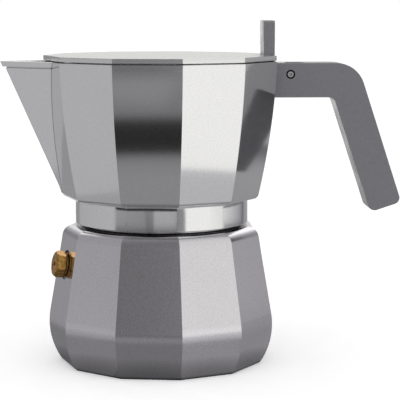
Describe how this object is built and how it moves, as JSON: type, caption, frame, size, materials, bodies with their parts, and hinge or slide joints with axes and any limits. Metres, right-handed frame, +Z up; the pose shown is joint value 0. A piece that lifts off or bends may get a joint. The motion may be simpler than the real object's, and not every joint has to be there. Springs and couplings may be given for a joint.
{
  "type": "moka pot",
  "caption": "Stovetop moka pot: faceted boiler with safety valve, funnel and filter, screw-on collector with spout, hinged lid and angled handle.",
  "frame": {"origin": "on the pot's axis, at the plane it stands on", "axes": "+X towards the handle, +Z up, the spout towards -X"},
  "size_m": [0.1999, 0.1172, 0.1716],
  "materials": {
    "boiler_casting": "brushed",
    "collector_casting": "satin",
    "lid_casting": "satin",
    "spun_aluminium": "satin",
    "brass": "polished",
    "copper_washer": "satin",
    "grey_plastic": "matte",
    "bush_rubber": "matte",
    "silicone": "matte",
    "steel": "bright"
  },
  "bodies": {
    "boiler": {"boiler": "boiler_casting", "valve_body": "brass", "valve_washer": "copper_washer", "valve_spring": "steel", "valve_retainer": "brass"},
    "valve_poppet": {"valve_poppet": "steel"},
    "funnel": {"funnel_basket": "spun_aluminium", "funnel_tube": "spun_aluminium", "funnel_disc": "spun_aluminium"},
    "filter": {"filter_plate": "spun_aluminium"},
    "collector": {"collector": "collector_casting", "coffee_column": "collector_casting", "gasket": "silicone", "handle": "grey_plastic", "handle_screw": "steel", "handle_washer": "steel", "hinge_pin": "steel", "hinge_bushes": "bush_rubber"},
    "lid": {"lid": "lid_casting", "lid_tab": "grey_plastic", "lid_tab_screws": "steel"}
  },
  "joints": [
    {"name": "valve_lift", "type": "slide", "parent": "boiler", "child": "valve_poppet", "axis": [-0.9455, -0.2776, 0.1702], "range_m": [0, 0.0012], "stiffness_N_per_m": 900, "springref_m": -0.003, "deforming": ["valve_spring"]},
    {"name": "funnel_lift", "type": "slide", "parent": "boiler", "child": "funnel", "axis": [0, 0, 1], "range_m": [0, 0.0033]},
    {"name": "collector_rise", "type": "slide", "parent": "boiler", "child": "filter", "axis": [0, 0, 1], "range_m": [0, 0.00641]},
    {"name": "collector_turn", "type": "hinge", "parent": "filter", "child": "collector", "pos_m": [0, 0, 0], "axis": [0, 0, 1], "range_deg": [0, 720]},
    {"name": "lid_hinge", "type": "hinge", "parent": "collector", "child": "lid", "pos_m": [0.0641, 0, 0.145], "axis": [0, 1, 0], "range_deg": [0, 90]}
  ],
  "couplings": [
    {"joint": "collector_rise", "follows": "collector_turn", "m_per_rad": 0.0005093},
    {"joint": "funnel_lift", "follows": "collector_turn", "m_per_rad": 0.00025}
  ]
}
